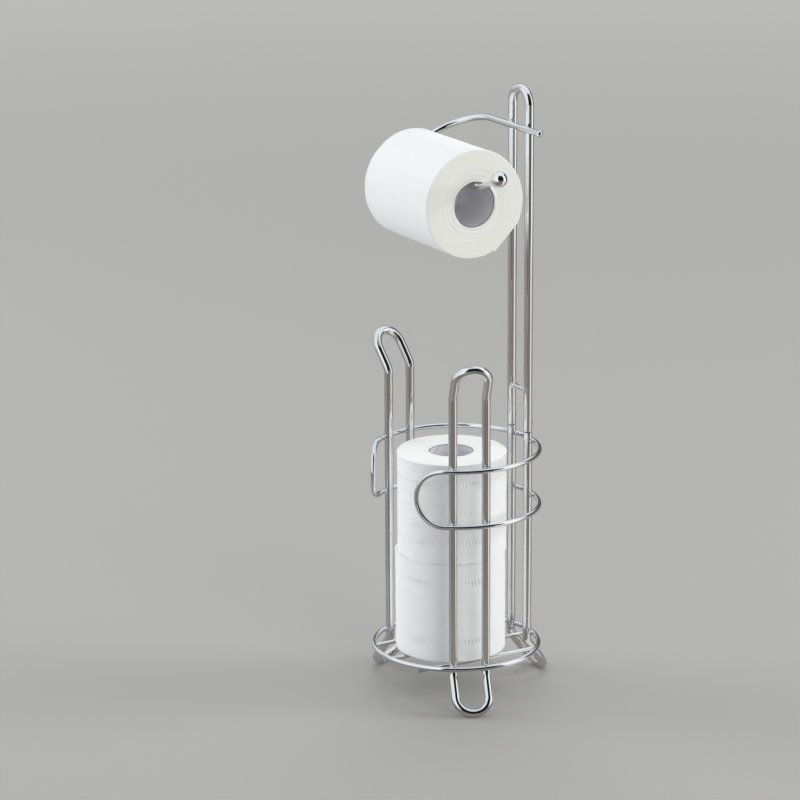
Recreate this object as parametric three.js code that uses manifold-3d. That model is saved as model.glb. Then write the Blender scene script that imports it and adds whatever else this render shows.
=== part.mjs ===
// A freestanding toilet paper holder of bent and welded chromed steel wire.
// A tall post carries one roll on an arm, and two hoops, a ring and a band hold spare rolls below.
// Millimetres. +Z is up, the post stands at +Y, the store opens at -Y, the arm's ball points to +X.
import * as THREE from 'three';
import { mergeVertices } from 'three/addons/utils/BufferGeometryUtils.js';
import Module from 'manifold-3d';

const wasm = await Module();
wasm.setup();

// Stock that the pieces are bent from, as diameters
const post_wire = 8.6;
const hoop_wire = 8.5;
const ring_wire = 4.8;
const band_wire = 4.8;
const bar_wire = 4.2;
const brace_wire = 5;
const arm_wire = 6;

// Fits
const seat_gap = 0.3;
const overrun = 20;
const same_point = 0.001;

// Store: a round cage with its axis on the Z axis, sized for the widest spare roll
const roll_play = 14.15;
const ring_height = 43;
const band_top = 241;
const band_depth = 55;
const band_opening = THREE.MathUtils.degToRad(64);
const bar_spacing = 43;

// Hoops and the post are loops of two parallel wires with round ends
const hoop_pitch = 32;
const post_pitch = 30.4;
const hoop_turn = THREE.MathUtils.degToRad(110);
const knee_bend = 14;
const ankle_below_ring = 7;
const foot_past_ring = 15.4;
const foot_flat = 0.45;
const hoop_height = 348.2;
const hoop_past_ring = 11.4;
const shoulder_below_top = 37.2;

// Post: two halves that slide together on pins at a seam
const post_height = 592;
const seam_height = 251.2;
const brace_above_seam = 40.8;
const pin_diameter = 5;
const pin_length = 40;
const screw_diameter = 2.6;
const screw_above_seam = 9;
const screw_proud = 0.6;
const screw_key = 1.3;
const screw_key_depth = 0.9;

// Arm: it leaves the post, turns back in a wide bend and carries the roll on its lower leg
const arm_below_top = 40;
const arm_drop = 36;
const arm_depth = 85.5;
const arm_turn_bend = 41;
const roll_past_bend = 4.8;
const arm_past_post = 24;
const rise_past_roll = 8.8;
const arm_rise_bend = 16;
const arm_rise = THREE.MathUtils.degToRad(22.5);
const ball_diameter = 15.2;
const ball_past_rise = 35;
const ball_bore_depth = 5;
const cap_diameter = 6.8;
const cap_length = 5;

// Rolls
const core_diameter = 43;
const core_wall = 0.7;
const core_inset = 0.6;
const rim_round = 1.8;
const hung_diameter = 105.4;
const hung_width = 118;
const hung_centre_x = 12.2;
const spare_height = 99.5;
const lower_spare = { diameter: 110.5, x: -2.8, y: -5 };
const upper_spare = { diameter: 108.8, x: -1.4, y: -4.4 };

// Facets
const bend_step = THREE.MathUtils.degToRad(12);
const thick_sides = 12;
const thin_sides = 8;
const ring_steps = 60;
const band_step = THREE.MathUtils.degToRad(8);
const roll_sides = 48;
const ball_sides = 24;
const key_sides = 6;
const rim_steps = 3;

// Sizes that follow from those above
const hoop_clear_radius = lower_spare.diameter / 2 + roll_play;
const store_radius = hoop_clear_radius + hoop_wire + seat_gap + ring_wire / 2;
const foot_reach = store_radius + foot_past_ring;
const hoop_reach = store_radius + hoop_past_ring;
const ankle_height = ring_height - ankle_below_ring;
const shoulder_height = hoop_height - shoulder_below_top;
const brace_height = seam_height + brace_above_seam;
const hoop_half = hoop_pitch / 2;
const hoop_radius = store_radius - ring_wire / 2 - seat_gap - hoop_wire / 2;
const hoop_plane = Math.sqrt(hoop_radius ** 2 - hoop_half ** 2);
const post_half = post_pitch / 2;
const post_radius = store_radius - ring_wire / 2 - seat_gap - post_wire / 2;
const post_plane = Math.sqrt(post_radius ** 2 - post_half ** 2);
const arm_height = post_height - arm_below_top;
const arm_left = hung_width / 2 - hung_centre_x + arm_turn_bend - roll_past_bend;
const arm_right = post_half + post_wire / 2 + arm_past_post;
const arm_rise_start = hung_centre_x + hung_width / 2 + rise_past_roll;
const ball_centre_x = arm_rise_start + ball_past_rise;
const arm_outer_y = post_plane - post_wire / 2 - seat_gap - arm_wire / 2;
const arm_inner_y = arm_outer_y - arm_depth;
const arm_lower_z = arm_height - arm_drop;
const core_inner = core_diameter / 2 - core_wall;
const hung_centre_z = arm_lower_z + arm_wire / 2 + seat_gap - core_inner;
const bar_centre_z = ring_height - ring_wire / 2 - seat_gap - bar_wire / 2;
const lower_spare_z = bar_centre_z + bar_wire / 2 + seat_gap;
const upper_spare_z = lower_spare_z + spare_height + seat_gap;
const up = new THREE.Vector3(0, 0, 1);

// Finishes
const chrome = { color: 0xd4d6d8, roughness: 0.08, metalness: 1 };
const dark_steel = { color: 0x4b4d50, roughness: 0.35, metalness: 1 };
const tissue = { color: 0xf1f2ef, roughness: 0.95, metalness: 0 };
const card = { color: 0xb9b7b5, roughness: 0.9, metalness: 0 };

function named(name, geometry, finish) {
  geometry.computeVertexNormals();
  const mesh = new THREE.Mesh(geometry, new THREE.MeshStandardMaterial(finish));
  mesh.name = name;
  return mesh;
}

// A closed mesh as a solid that can be cut, and back again
function toSolid(geometry) {
  const bare = geometry.clone();
  bare.deleteAttribute('normal');
  bare.deleteAttribute('uv');
  const welded = mergeVertices(bare, same_point);
  return new wasm.Manifold(new wasm.Mesh({
    numProp: 3,
    vertProperties: new Float32Array(welded.attributes.position.array),
    triVerts: new Uint32Array(welded.index.array),
  }));
}

function toGeometry(solid) {
  const { numProp, vertProperties, triVerts } = solid.getMesh();
  const positions = [];
  for (let i = 0; i < vertProperties.length; i += numProp) {
    positions.push(vertProperties[i], vertProperties[i + 1], vertProperties[i + 2]);
  }
  const geometry = new THREE.BufferGeometry();
  geometry.setAttribute('position', new THREE.Float32BufferAttribute(positions, 3));
  geometry.setIndex([...triVerts]);
  return geometry;
}

function cutAway(geometry, tools) {
  return toGeometry(tools.reduce((solid, tool) => solid.subtract(toSolid(tool)), toSolid(geometry)));
}

// The centre line of a bent wire: straight runs between corners, each corner rounded to its radius
function bentLine(corners, closed) {
  const points = [];
  const count = corners.length;
  const add = (point) => {
    const last = points[points.length - 1];
    if (!last || last.distanceTo(point) > same_point) points.push(point);
  };
  corners.forEach(({ at, bend }, i) => {
    const isEnd = !closed && (i === 0 || i === count - 1);
    if (isEnd) {
      add(at.clone());
      return;
    }
    const back = corners[(i + count - 1) % count].at.clone().sub(at).normalize();
    const ahead = corners[(i + 1) % count].at.clone().sub(at).normalize();
    const half = back.angleTo(ahead) / 2;
    const centre = back.clone().add(ahead).setLength(bend / Math.sin(half)).add(at);
    const start = back.clone().multiplyScalar(bend / Math.tan(half)).add(at);
    const outward = start.clone().sub(centre);
    const onward = back.clone().multiplyScalar(-bend);
    const turn = Math.PI - 2 * half;
    const steps = Math.max(1, Math.round(turn / bend_step));
    for (let k = 0; k <= steps; k += 1) {
      const angle = turn * k / steps;
      const reach = outward.clone().multiplyScalar(Math.cos(angle));
      add(reach.addScaledVector(onward, Math.sin(angle)).add(centre));
    }
  });
  if (closed && points[0].distanceTo(points[points.length - 1]) <= same_point) points.pop();
  return points;
}

// A round wire along a line of points. The face that each section starts from looks along facing(point).
function wire(points, diameter, sides, facing, closed) {
  const positions = [];
  const index = [];
  const count = points.length;
  points.forEach((point, i) => {
    const before = points[closed ? (i + count - 1) % count : Math.max(i - 1, 0)];
    const after = points[closed ? (i + 1) % count : Math.min(i + 1, count - 1)];
    const into = point.clone().sub(before).normalize();
    const tangent = after.clone().sub(point).normalize().add(into).normalize();
    const side = facing(point).clone().projectOnPlane(tangent).normalize();
    const other = tangent.clone().cross(side);
    for (let k = 0; k < sides; k += 1) {
      const angle = 2 * Math.PI * k / sides;
      const corner = point.clone().addScaledVector(side, Math.cos(angle) * diameter / 2);
      corner.addScaledVector(other, Math.sin(angle) * diameter / 2);
      positions.push(...corner);
    }
  });
  const spans = closed ? count : count - 1;
  for (let i = 0; i < spans; i += 1) {
    const here = i * sides;
    const next = ((i + 1) % count) * sides;
    for (let k = 0; k < sides; k += 1) {
      const k2 = (k + 1) % sides;
      index.push(here + k, here + k2, next + k2, here + k, next + k2, next + k);
    }
  }
  if (!closed) {
    const last = (count - 1) * sides;
    for (let k = 1; k < sides - 1; k += 1) {
      index.push(0, k + 1, k, last, last + k, last + k + 1);
    }
  }
  const geometry = new THREE.BufferGeometry();
  geometry.setAttribute('position', new THREE.Float32BufferAttribute(positions, 3));
  geometry.setIndex(index);
  return geometry;
}

// Straight round stock between two points
function rod(from, to, diameter, sides) {
  const length = from.distanceTo(to);
  const geometry = new THREE.CylinderGeometry(diameter / 2, diameter / 2, length, sides);
  const along = to.clone().sub(from).normalize();
  geometry.applyQuaternion(new THREE.Quaternion().setFromUnitVectors(new THREE.Vector3(0, 1, 0), along));
  return geometry.translate(...from.clone().add(to).multiplyScalar(1 / 2));
}

// Everything under the floor line, as a block that cuts the flat that a foot rests on
function belowFloor() {
  const size = 2 * (foot_reach + overrun);
  return new THREE.BoxGeometry(size, size, overrun).translate(0, 0, -overrun / 2);
}

// Corners of the lower end of a loop that faces +X: down both wires and out to a round foot
function footCorners(plane, stock, half) {
  const tip_z = stock / 2 - foot_flat;
  const corner = (x, y, z, bend) => ({ at: new THREE.Vector3(x, y, z), bend });
  return [
    corner(plane, -half, ankle_height, knee_bend),
    corner(foot_reach, -half, tip_z, half),
    corner(foot_reach, half, tip_z, half),
    corner(plane, half, ankle_height, knee_bend),
  ];
}

// A side hoop: one closed loop, leaning out at the top for the hand and at the bottom as a foot
function hoop(name, angle) {
  const top_z = hoop_height - hoop_wire / 2;
  const corner = (x, y, z, bend) => ({ at: new THREE.Vector3(x, y, z), bend });
  const corners = [
    ...footCorners(hoop_plane, hoop_wire, hoop_half),
    corner(hoop_plane, hoop_half, shoulder_height, knee_bend),
    corner(hoop_reach, hoop_half, top_z, hoop_half),
    corner(hoop_reach, -hoop_half, top_z, hoop_half),
    corner(hoop_plane, -hoop_half, shoulder_height, knee_bend),
  ];
  const outward = new THREE.Vector3(1, 0, 0);
  const loop = wire(bentLine(corners, true), hoop_wire, thick_sides, () => outward, true);
  return named(name, cutAway(loop, [belowFloor()]).rotateZ(angle), chrome);
}

// Sockets for the pins, half a pin deep in each half of the post, and the screws' holes
function sockets() {
  const reach = pin_length / 2 + seat_gap;
  return [-1, 1].map((side) => {
    const middle = new THREE.Vector3(side * post_half, post_plane, seam_height);
    const low = middle.clone().addScaledVector(up, -reach);
    const high = middle.clone().addScaledVector(up, reach);
    return rod(low, high, pin_diameter + 2 * seat_gap, thick_sides);
  });
}

function screwLine(side, from_y, to_y, diameter) {
  const z = seam_height + screw_above_seam;
  const from = new THREE.Vector3(side * post_half, from_y, z);
  const to = new THREE.Vector3(side * post_half, to_y, z);
  return rod(from, to, diameter, thick_sides);
}

// Lower half of the post: two legs from the seam down to one round foot
function lowerPost() {
  const top_z = seam_height - seat_gap / 2;
  const end = (side) => ({ at: new THREE.Vector3(post_plane, side * post_half, top_z), bend: 0 });
  const corners = [end(-1), ...footCorners(post_plane, post_wire, post_half), end(1)];
  const outward = new THREE.Vector3(1, 0, 0);
  const legs = wire(bentLine(corners, false), post_wire, thick_sides, () => outward, false);
  legs.rotateZ(Math.PI / 2);
  return named('lower_post', cutAway(legs, [belowFloor(), ...sockets()]), chrome);
}

// Upper half of the post: a tall round-topped loop, with a screw hole behind each socket
function upperPost() {
  const low_z = seam_height + seat_gap / 2;
  const top_z = post_height - post_wire / 2;
  const corner = (side, z, bend) => ({
    at: new THREE.Vector3(side * post_half, post_plane, z),
    bend,
  });
  const corners = [corner(-1, low_z, 0), corner(-1, top_z, post_half), corner(1, top_z, post_half),
    corner(1, low_z, 0)];
  const backward = new THREE.Vector3(0, 1, 0);
  const loop = wire(bentLine(corners, false), post_wire, thick_sides, () => backward, false);
  const hole = screw_diameter + 2 * seat_gap;
  const holes = [-1, 1].map((side) => screwLine(side, post_plane, post_plane + overrun, hole));
  return named('upper_post', cutAway(loop, [...sockets(), ...holes]), chrome);
}

function joiningPin(name, side) {
  const middle = new THREE.Vector3(side * post_half, post_plane, seam_height);
  const low = middle.clone().addScaledVector(up, -pin_length / 2);
  const high = middle.clone().addScaledVector(up, pin_length / 2);
  return named(name, rod(low, high, pin_diameter, thick_sides), dark_steel);
}

// A grub screw: its tip bears on the pin and its socketed head stands a little proud of the wire
function lockScrew(name, side) {
  const tip_y = post_plane + pin_diameter / 2 + seat_gap;
  const head_y = post_plane + post_wire / 2 + screw_proud;
  const body = screwLine(side, tip_y, head_y, screw_diameter);
  const z = seam_height + screw_above_seam;
  const key_from = new THREE.Vector3(side * post_half, head_y - screw_key_depth, z);
  const key_to = new THREE.Vector3(side * post_half, head_y + overrun, z);
  return named(name, cutAway(body, [rod(key_from, key_to, screw_key, key_sides)]), dark_steel);
}

function postBrace() {
  const end_x = post_half - post_wire / 2 - seat_gap;
  const from = new THREE.Vector3(-end_x, post_plane, brace_height);
  const to = new THREE.Vector3(end_x, post_plane, brace_height);
  return named('post_brace', rod(from, to, brace_wire, thin_sides), chrome);
}

// A point on the store's cylinder. Angles are counted from +X.
function onStore(angle, z) {
  return new THREE.Vector3(store_radius * Math.cos(angle), store_radius * Math.sin(angle), z);
}

function baseRing() {
  const points = [];
  for (let k = 0; k < ring_steps; k += 1) points.push(onStore(2 * Math.PI * k / ring_steps, ring_height));
  return named('base_ring', wire(points, ring_wire, thin_sides, () => up, true), chrome);
}

// A bar welded under the ring from front to back. The spare rolls stand on the three of them.
function baseBar(name, x) {
  const end_y = Math.sqrt(store_radius ** 2 - x ** 2);
  const from = new THREE.Vector3(x, -end_y, bar_centre_z);
  const to = new THREE.Vector3(x, end_y, bar_centre_z);
  return named(name, rod(from, to, bar_wire, thin_sides), chrome);
}

// The band: a long flat loop with round ends, rolled round the store and open at the front
function storeBand() {
  const half_height = band_depth / 2;
  const middle_z = band_top - half_height;
  const front = -Math.PI / 2;
  const end_angle = half_height / store_radius;
  const from = front + band_opening / 2 + end_angle;
  const to = front + 2 * Math.PI - band_opening / 2 - end_angle;
  const runs = Math.round((to - from) / band_step);
  const turns = Math.round(Math.PI / bend_step);
  const points = [];
  for (let k = 0; k < runs; k += 1) points.push(onStore(from + (to - from) * k / runs, band_top));
  for (let k = 0; k < turns; k += 1) {
    const t = Math.PI * k / turns;
    points.push(onStore(to + end_angle * Math.sin(t), middle_z + half_height * Math.cos(t)));
  }
  for (let k = 0; k < runs; k += 1) points.push(onStore(to - (to - from) * k / runs, band_top - band_depth));
  for (let k = 0; k < turns; k += 1) {
    const t = Math.PI * k / turns;
    points.push(onStore(from - end_angle * Math.sin(t), middle_z - half_height * Math.cos(t)));
  }
  const outward = (point) => new THREE.Vector3(point.x, point.y, 0).normalize();
  return named('store_band', wire(points, band_wire, thin_sides, outward, true), chrome);
}

// Direction of the arm's raised end, and the place of the ball on it
const rise_direction = new THREE.Vector3(Math.cos(arm_rise), 0, Math.sin(arm_rise));
const ball_centre_z = arm_lower_z + (ball_centre_x - arm_rise_start) * Math.tan(arm_rise);
const ball_centre = new THREE.Vector3(ball_centre_x, arm_inner_y, ball_centre_z);

function rollArm() {
  const bore_floor = -ball_diameter / 2 + ball_bore_depth - seat_gap;
  const end = ball_centre.clone().addScaledVector(rise_direction, bore_floor);
  const corner = (x, y, z, bend) => ({ at: new THREE.Vector3(x, y, z), bend });
  const corners = [
    corner(arm_right, arm_outer_y, arm_height, 0),
    corner(-arm_left, arm_outer_y, arm_height, arm_turn_bend),
    corner(-arm_left, arm_inner_y, arm_lower_z, arm_turn_bend),
    corner(arm_rise_start, arm_inner_y, arm_lower_z, arm_rise_bend),
    { at: end, bend: 0 },
  ];
  return named('roll_arm', wire(bentLine(corners, false), arm_wire, thin_sides, () => up, false), chrome);
}

// A turned piece: its profile is (radius, distance along the axis) and its axis starts at a point
function turned(profile, start, along, sides) {
  const geometry = new THREE.LatheGeometry(profile.map(([r, y]) => new THREE.Vector2(r, y)), sides);
  geometry.applyQuaternion(new THREE.Quaternion().setFromUnitVectors(new THREE.Vector3(0, 1, 0), along));
  return geometry.translate(...start);
}

// The ball that stops the roll from sliding off, bored to take the arm's end
function armBall() {
  const radius = ball_diameter / 2;
  const bore = arm_wire / 2 + seat_gap;
  const mouth = Math.asin(bore / radius);
  const steps = ball_sides / 2;
  const profile = [[0, ball_bore_depth - radius], [bore, ball_bore_depth - radius]];
  for (let k = 0; k <= steps; k += 1) {
    const angle = mouth + (Math.PI - mouth) * k / steps;
    profile.push([k === steps ? 0 : radius * Math.sin(angle), -radius * Math.cos(angle)]);
  }
  return named('arm_ball', turned(profile, ball_centre, rise_direction, ball_sides), chrome);
}

// The rounded cap that closes the arm's short end beside the post
function armEndCap() {
  const radius = cap_diameter / 2;
  const steps = thin_sides / 2;
  const shoulder = cap_length - radius;
  const profile = [[0, 0], [radius, 0]];
  for (let k = 0; k <= steps; k += 1) {
    const angle = Math.PI / 2 * k / steps;
    profile.push([k === steps ? 0 : radius * Math.cos(angle), shoulder + radius * Math.sin(angle)]);
  }
  const start = new THREE.Vector3(arm_right + seat_gap, arm_outer_y, arm_height);
  return named('arm_end_cap', turned(profile, start, new THREE.Vector3(1, 0, 0), thick_sides), chrome);
}

// A roll's card tube, set back a little from the paper's faces
function rollCore(name, start, along, length) {
  const outer = core_diameter / 2;
  const profile = [[core_inner, core_inset], [outer, core_inset], [outer, length - core_inset],
    [core_inner, length - core_inset], [core_inner, core_inset]];
  return named(name, turned(profile, start, along, roll_sides), card);
}

// A roll's wound paper, with softly rounded rims
function rollPaper(name, start, along, length, diameter) {
  const inner = core_diameter / 2 + seat_gap;
  const outer = diameter / 2;
  const profile = [[inner, 0]];
  for (let k = 0; k <= rim_steps; k += 1) {
    const angle = Math.PI / 2 * k / rim_steps;
    profile.push([outer - rim_round * (1 - Math.sin(angle)), rim_round * (1 - Math.cos(angle))]);
  }
  for (let k = 0; k <= rim_steps; k += 1) {
    const angle = Math.PI / 2 * k / rim_steps;
    profile.push([outer - rim_round * (1 - Math.cos(angle)), length - rim_round * (1 - Math.sin(angle))]);
  }
  profile.push([inner, length], [inner, 0]);
  return named(name, turned(profile, start, along, roll_sides), tissue);
}

function hungRoll() {
  const start = new THREE.Vector3(hung_centre_x - hung_width / 2, arm_inner_y, hung_centre_z);
  const along = new THREE.Vector3(1, 0, 0);
  return [
    rollCore('hung_roll_core', start, along, hung_width),
    rollPaper('hung_roll_paper', start, along, hung_width, hung_diameter),
  ];
}

function spareRoll(name, { diameter, x, y }, z) {
  const start = new THREE.Vector3(x, y, z);
  return [
    rollCore(`${name}_core`, start, up, spare_height),
    rollPaper(`${name}_paper`, start, up, spare_height, diameter),
  ];
}

const frame = new THREE.Group();
frame.add(upperPost(), lowerPost(), postBrace());
[['left', -1], ['right', 1]].forEach(([hand, side]) => {
  frame.add(joiningPin(`joining_pin_${hand}`, side), lockScrew(`lock_screw_${hand}`, side));
  frame.add(hoop(`${hand}_hoop`, Math.PI / 2 - side * hoop_turn));
});
frame.add(baseRing(), storeBand());
[['left', -1], ['middle', 0], ['right', 1]].forEach(([place, step]) => {
  frame.add(baseBar(`base_bar_${place}`, step * bar_spacing));
});
frame.add(rollArm(), armBall(), armEndCap());

const rolls = new THREE.Group();
rolls.add(...hungRoll());
rolls.add(...spareRoll('lower_spare', lower_spare, lower_spare_z));
rolls.add(...spareRoll('upper_spare', upper_spare, upper_spare_z));

// The origin is on the floor under the middle of the whole holder
const holder = new THREE.Group();
holder.add(frame, rolls);
const extent = new THREE.Box3().setFromObject(holder);
const middle = extent.getCenter(new THREE.Vector3());
holder.position.set(-middle.x, -middle.y, -extent.min.z);

export default holder;
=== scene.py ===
import bpy
import numpy as np
from mathutils import Matrix, Vector


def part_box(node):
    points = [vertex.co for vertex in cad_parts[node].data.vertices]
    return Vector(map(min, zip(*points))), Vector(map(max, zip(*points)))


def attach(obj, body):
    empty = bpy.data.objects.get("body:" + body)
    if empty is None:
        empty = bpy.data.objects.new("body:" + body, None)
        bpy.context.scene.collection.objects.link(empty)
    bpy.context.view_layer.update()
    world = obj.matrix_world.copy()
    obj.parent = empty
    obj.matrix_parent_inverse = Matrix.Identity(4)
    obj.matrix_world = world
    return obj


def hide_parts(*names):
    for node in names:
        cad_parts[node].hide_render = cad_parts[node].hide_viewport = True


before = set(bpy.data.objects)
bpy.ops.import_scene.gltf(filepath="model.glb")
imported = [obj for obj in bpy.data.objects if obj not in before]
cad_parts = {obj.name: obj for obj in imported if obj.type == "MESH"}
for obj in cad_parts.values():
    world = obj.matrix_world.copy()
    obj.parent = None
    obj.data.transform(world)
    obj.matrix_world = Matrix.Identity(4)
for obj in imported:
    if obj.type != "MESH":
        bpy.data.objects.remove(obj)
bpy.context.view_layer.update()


# The set: a long lens looks down at the holder from its front right, over a plain pale floor. Soft
# boxes stand at the left, the front and the right and high behind, with a small low one at the left.
# Polished metal mirrors white and dark cards instead, painted all round the world and into a darker
# floor, where only reflections see them.
camera_place = (2.8562, -1.6828, 1.2274)
camera_angle = np.arctan2(camera_place[1], camera_place[0])
camera_turn, camera_dip, camera_roll = np.radians((60.67, 15.76, -0.30))
camera_data = bpy.data.cameras.new("studio_camera")
camera_data.lens, camera_data.sensor_width = 161.1, 36
camera = bpy.data.objects.new("studio_camera", camera_data)
turn = Matrix.Rotation(camera_turn, 4, "Z")
dip = Matrix.Rotation(np.pi / 2 - camera_dip, 4, "X")
roll = Matrix.Rotation(camera_roll, 4, "Z")
camera.matrix_world = Matrix.Translation(camera_place) @ turn @ dip @ roll
bpy.context.scene.collection.objects.link(camera)
bpy.context.scene.camera = camera
bpy.context.scene.view_settings.view_transform = "Standard"


def soft_box(name, bearing, distance, height, aim_height, size, watts, colour):
    """A square lamp at a bearing from the camera's side, in degrees and positive to the right, turned
    to face the holder's axis at aim_height."""
    angle = camera_angle + np.radians(bearing)
    place = Vector((distance * np.cos(angle), distance * np.sin(angle), height))
    data = bpy.data.lights.new(name, "AREA")
    data.shape = "SQUARE"
    data.size = size
    data.energy = watts
    data.color = colour
    lamp = bpy.data.objects.new(name, data)
    lamp.location = place
    lamp.rotation_mode = "QUATERNION"
    lamp.rotation_quaternion = (Vector((0, 0, aim_height)) - place).to_track_quat("-Z", "Y")
    lamp.visible_glossy = False
    lamp.visible_camera = False
    bpy.context.scene.collection.objects.link(lamp)


# Each box's bearing, distance, height, height aimed at, size, watts and colour
soft_box("left_soft_box", -103, 3.2, 0.95, 0.2, 2.4, 52, (0.975, 0.99, 1.0))
soft_box("rear_left_soft_box", -108, 2.6, 0.35, 0.1, 1.2, 14, (0.95, 0.975, 1.0))
soft_box("front_soft_box", 30, 4.0, 1.8, 0.4, 2.0, 33, (1.0, 0.99, 0.97))
soft_box("right_soft_box", 92, 3.4, 1.5, 0.3, 1.8, 60, (1.0, 1.0, 0.97))
soft_box("back_soft_box", 180, 2.6, 4.4, 0.3, 3.0, 50, (0.985, 0.99, 1.0))


def set_inputs(tree, node, inputs):
    """Each input is set to its value, or linked when that is another node's socket."""
    for name, value in inputs.items():
        if isinstance(value, bpy.types.NodeSocket):
            tree.links.new(value, node.inputs[name])
        else:
            node.inputs[name].default_value = value


def shader_node(tree, kind, inputs=None, **settings):
    """One shader node, with its settings made before its inputs are set."""
    node = tree.nodes.new(kind)
    for name, value in settings.items():
        setattr(node, name, value)
    set_inputs(tree, node, inputs or {})
    return node


def math_node(tree, operation, *values):
    """The result socket of one Math node on values or sockets."""
    return shader_node(tree, "ShaderNodeMath", dict(enumerate(values)), operation=operation).outputs[0]


def blend_node(tree, share, low, high):
    """The colour low where share is 0 and high where it is 1."""
    inputs = {0: share, 6: low, 7: high}
    return shader_node(tree, "ShaderNodeMix", inputs, data_type="RGBA").outputs[2]


def range_node(tree, value, from_low, from_high, to_low=0.0, to_high=1.0, interpolation="LINEAR"):
    """A value brought from one range to another, and held at the second one's ends."""
    inputs = {0: value, 1: from_low, 2: from_high, 3: to_low, 4: to_high}
    return shader_node(tree, "ShaderNodeMapRange", inputs, interpolation_type=interpolation).outputs[0]


def ramp_node(tree, share, stops):
    """A colour ramp with a grey at each stop of (place, brightness), from place 0 to place 1."""
    node = shader_node(tree, "ShaderNodeValToRGB", {0: share})
    elements = node.color_ramp.elements
    elements[0].color = (stops[0][1],) * 3 + (1,)
    elements[1].color = (stops[-1][1],) * 3 + (1,)
    for place, grey in stops[1:-1]:
        elements.new(place).color = (grey, grey, grey, 1)
    return node.outputs[0]


def node_group(name, inputs, outputs):
    """An empty shader node group with its sockets, and its input and output nodes."""
    group = bpy.data.node_groups.new(name, "ShaderNodeTree")
    for label, kind in inputs:
        group.interface.new_socket(label, in_out="INPUT", socket_type=kind)
    for label, kind in outputs:
        group.interface.new_socket(label, in_out="OUTPUT", socket_type=kind)
    return group, group.nodes.new("NodeGroupInput"), group.nodes.new("NodeGroupOutput")


def new_material(name):
    """A material with its node tree and its Principled BSDF."""
    material = bpy.data.materials.new(name)
    material.use_nodes = True
    return material, material.node_tree, material.node_tree.nodes["Principled BSDF"]


# Bearings of the cards, in degrees from the camera's side and positive to the right, and their greys:
# first what upright metal sees above the floor, then what it sees in the floor far off and near by
high_cards = [
    (-180, 0.12), (-170, 0.14), (-162, 0.62), (-125, 0.64), (-112, 0.45), (-100, 0.80), (-60, 0.80),
    (-30, 1.0), (-21, 0.95), (-19, 0.012), (66, 0.012), (69, 1.0), (104, 1.0), (109, 0.13),
    (150, 0.10), (180, 0.10),
]
low_cards = [
    (-180, 0.03), (-152, 0.05), (-138, 0.25), (-112, 0.35), (-100, 0.62), (-62, 0.62), (-40, 0.78),
    (-20, 0.95), (-10, 0.75), (1, 0.10), (9, 0.02), (56, 0.02), (61, 0.10), (65, 0.95),
    (105, 0.95), (112, 0.06), (130, 0.02), (180, 0.03),
]
near_cards = [
    (-180, 0.16), (-130, 0.24), (-90, 0.20), (-60, 0.22), (-40, 0.16), (-30, 0.06), (-18, 0.07),
    (-5, 0.15), (16, 0.14), (30, 0.06), (48, 0.10), (56, 0.80), (88, 0.80), (98, 0.20), (130, 0.20),
    (180, 0.16),
]
card_light = 1.15
cards, cards_in, cards_out = node_group(
    "mirrored_cards", [("Direction", "NodeSocketVector")],
    [(label, "NodeSocketColor") for label in ("High Grey", "Low Grey", "Near Grey")])
from_camera = shader_node(
    cards, "ShaderNodeVectorRotate", {0: cards_in.outputs[0], "Angle": -camera_angle},
    rotation_type="Z_AXIS").outputs[0]
across = shader_node(cards, "ShaderNodeSeparateXYZ", {0: from_camera})
bearing = math_node(cards, "ARCTAN2", across.outputs[1], across.outputs[0])
turn_share = math_node(cards, "MULTIPLY_ADD", bearing, 1 / (2 * np.pi), 1 / 2)
for socket, card_set in enumerate((high_cards, low_cards, near_cards)):
    stops = [((degrees + 180) / 360, grey) for degrees, grey in card_set]
    lit_card = shader_node(
        cards, "ShaderNodeVectorMath", {0: ramp_node(cards, turn_share, stops), "Scale": card_light},
        operation="SCALE")
    cards.links.new(lit_card.outputs[0], cards_out.inputs[socket])

# The ceiling is a bright round patch, painted for reflections only, which leans away from the camera and
# ends in a soft edge
backdrop_colour = (0.50, 0.498, 0.49, 1)
room_light = (0.56, 0.565, 0.57, 1)
ceiling_colour = (0.86, 0.93, 1.0, 1)
ceiling_tilt = np.radians(20)
ceiling_reach_dim, ceiling_reach_full = np.cos(np.radians((50, 42)))
ceiling_way = (
    -np.sin(ceiling_tilt) * np.cos(camera_angle), -np.sin(ceiling_tilt) * np.sin(camera_angle),
    np.cos(ceiling_tilt))
world = bpy.data.worlds.new("studio")
world.use_nodes = True
sky = world.node_tree
sky.nodes.clear()
way = shader_node(sky, "ShaderNodeTexCoord").outputs["Generated"]
mirrored = shader_node(sky, "ShaderNodeGroup", {0: way}, node_tree=cards)
toward_ceiling = shader_node(
    sky, "ShaderNodeVectorMath", {0: way, 1: ceiling_way}, operation="DOT_PRODUCT").outputs["Value"]
ceiling_share = range_node(
    sky, toward_ceiling, ceiling_reach_dim, ceiling_reach_full, interpolation="SMOOTHSTEP")
seen_in_metal = blend_node(sky, ceiling_share, mirrored.outputs[0], ceiling_colour)
rays = shader_node(sky, "ShaderNodeLightPath")
not_diffuse = math_node(
    sky, "MAXIMUM", rays.outputs["Is Glossy Ray"], rays.outputs["Is Transmission Ray"])
lit = blend_node(sky, not_diffuse, room_light, seen_in_metal)
seen = blend_node(sky, rays.outputs["Is Camera Ray"], lit, backdrop_colour)
shader_node(sky, "ShaderNodeOutputWorld", {
    0: shader_node(sky, "ShaderNodeBackground", {0: seen}).outputs[0]})
bpy.context.scene.world = world
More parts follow.
